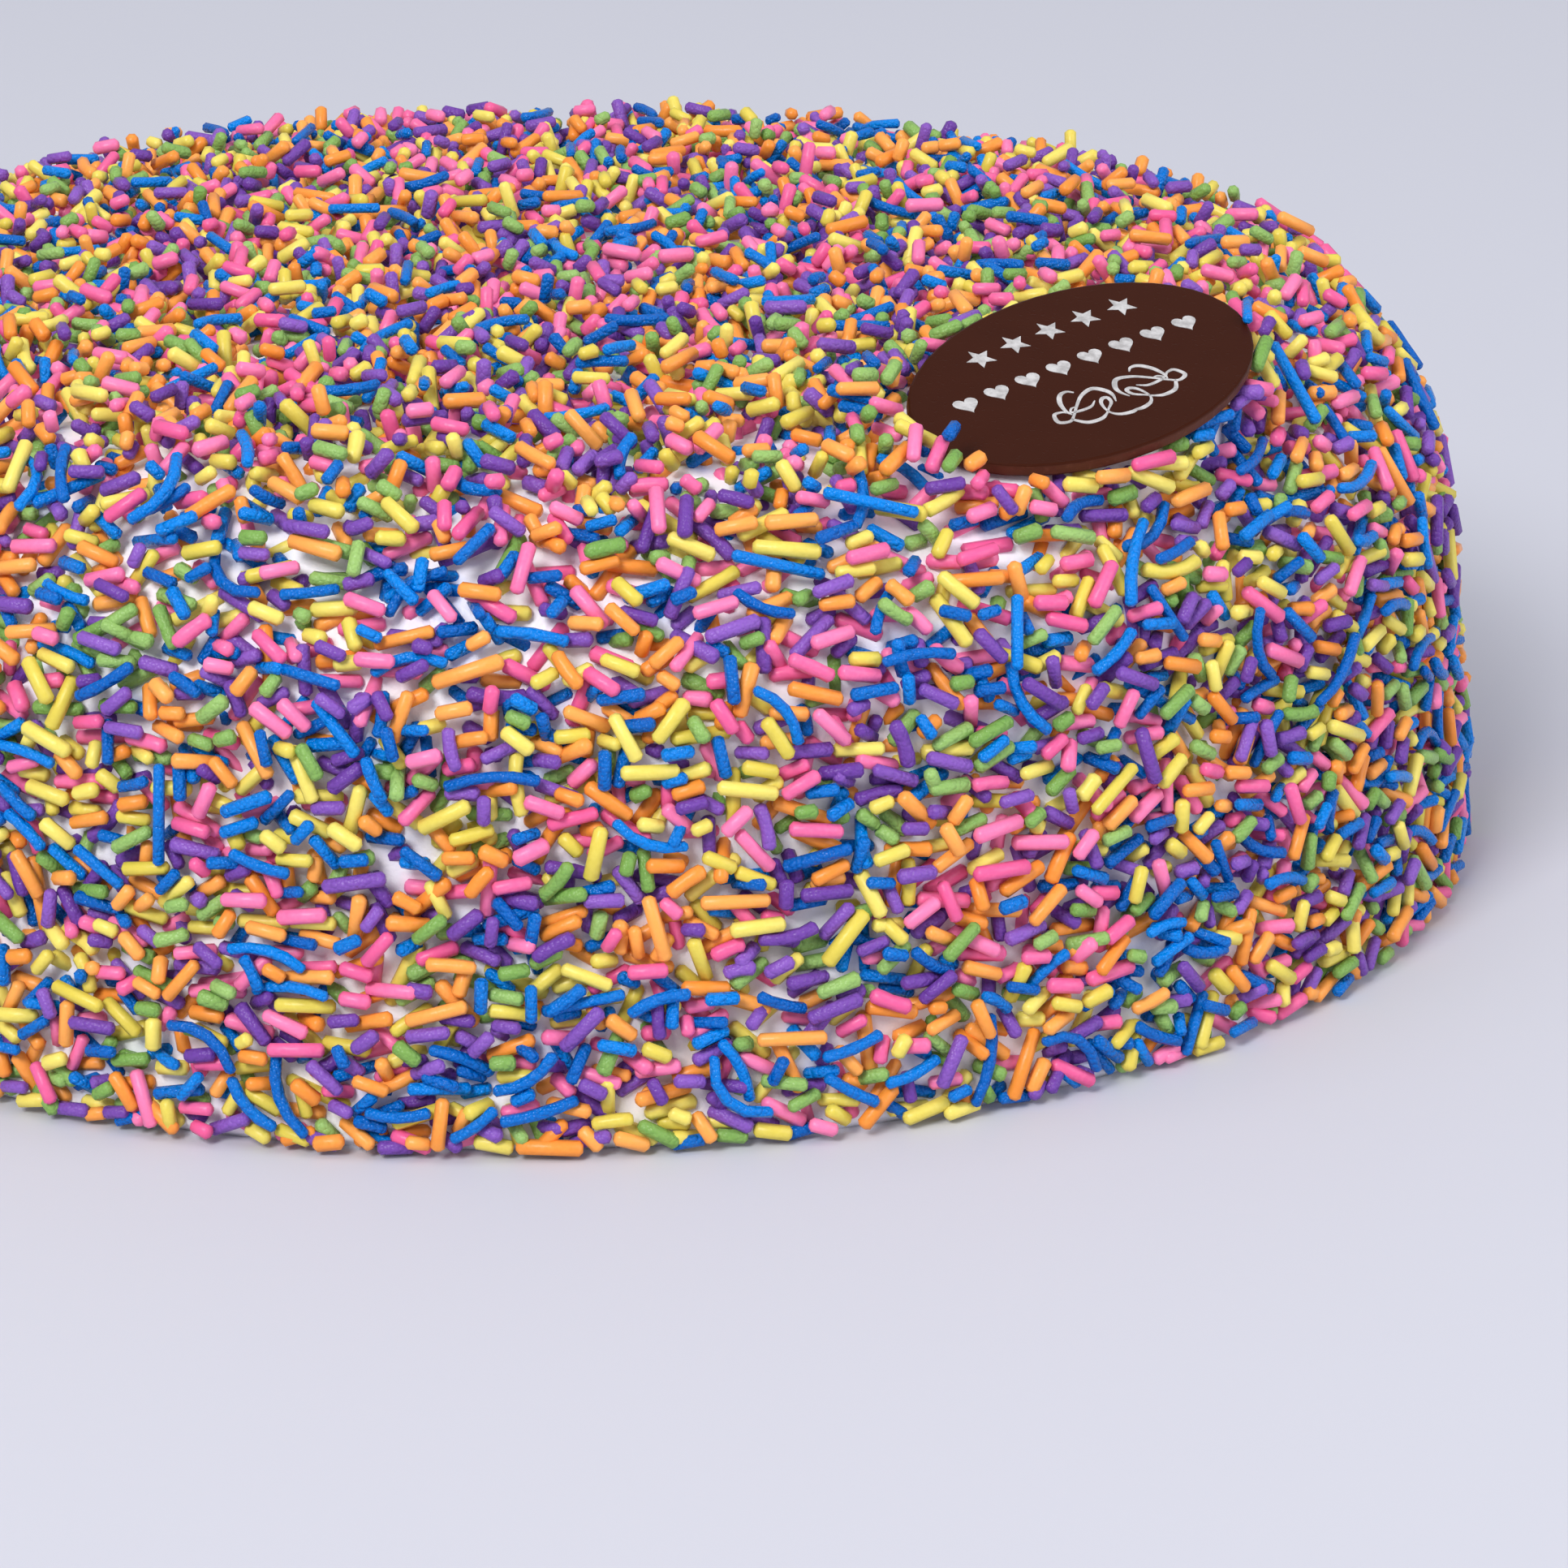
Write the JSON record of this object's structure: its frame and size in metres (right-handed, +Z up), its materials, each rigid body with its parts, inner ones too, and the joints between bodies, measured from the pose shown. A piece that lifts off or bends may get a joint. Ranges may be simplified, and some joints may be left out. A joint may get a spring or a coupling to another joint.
{
  "type": "birthday cake",
  "caption": "Low round birthday cake in whipped cream, coated all over with coloured sugar sprinkles, with an oval chocolate plaque leaning on its rounded top edge.",
  "frame": {"origin": "centre of the cake's flat underside, at floor level", "axes": "+Z up, -Y towards the viewer of the picture, +X to the viewer's right, so the plaque is at +X -Y"},
  "size_m": [0.2492, 0.2498, 0.0868],
  "materials": {
    "sprinkled_cream": "satin white whipped cream under six colours of sugar sprinkles",
    "chocolate": "smooth satin dark chocolate"
  },
  "bodies": {
    "root": {"cake": "sprinkled_cream", "plaque": "chocolate"}
  },
  "joints": []
}
